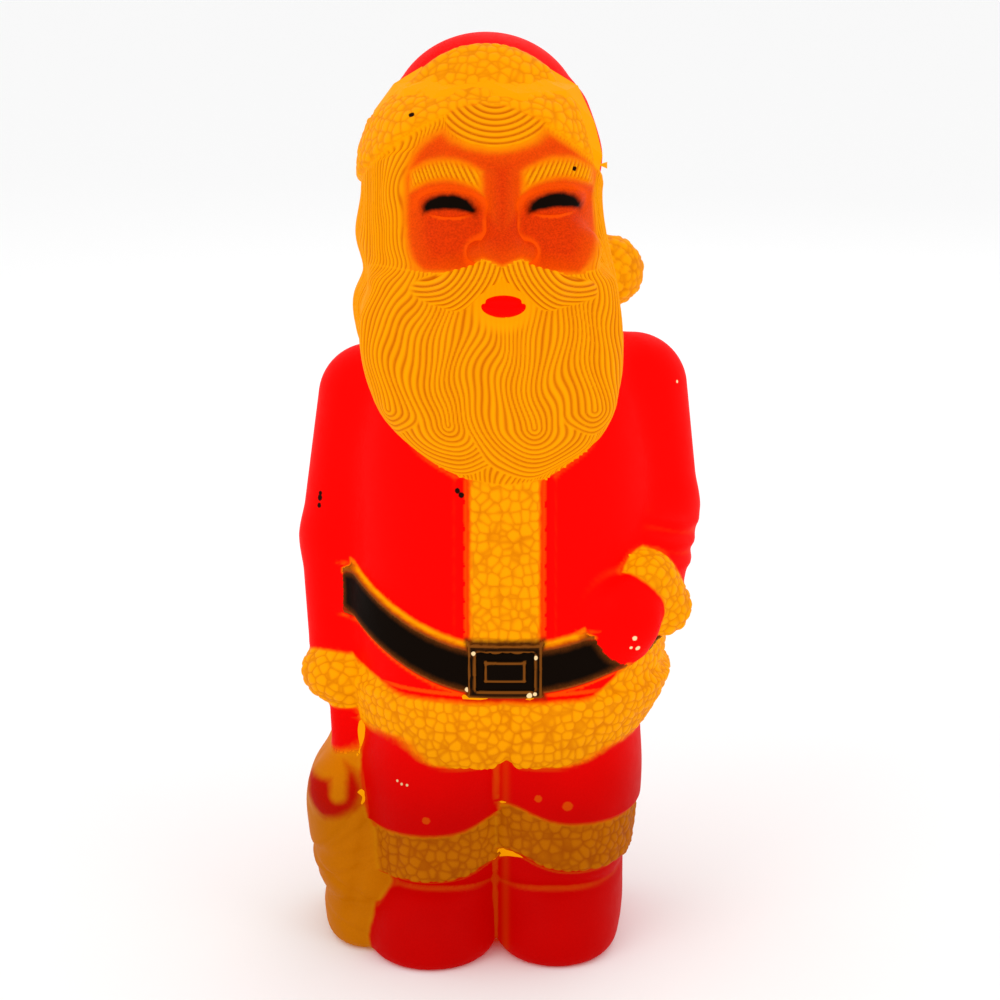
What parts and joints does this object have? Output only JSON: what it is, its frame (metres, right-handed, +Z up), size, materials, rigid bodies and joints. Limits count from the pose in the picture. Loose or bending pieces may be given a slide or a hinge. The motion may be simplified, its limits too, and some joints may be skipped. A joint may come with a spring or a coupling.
{
  "type": "blow-moulded santa figure",
  "caption": "Hollow blow-moulded Santa that stands with a long beard, belted coat and a sack at its side, lit through a round lamp hole in its back.",
  "frame": {"origin": "on the floor, in the middle of the flat underside", "axes": "+X to the viewer's right, -Y out of the figure's front, +Z up"},
  "size_m": [0.147, 0.1122, 0.3306],
  "materials": {
    "painted_plastic": "translucent plastic, spray-painted red, black and flesh over bare fur, hair and sack, glowing orange from a lamp inside"
  },
  "bodies": {
    "root": {"santa_shell": "painted_plastic"}
  },
  "joints": []
}
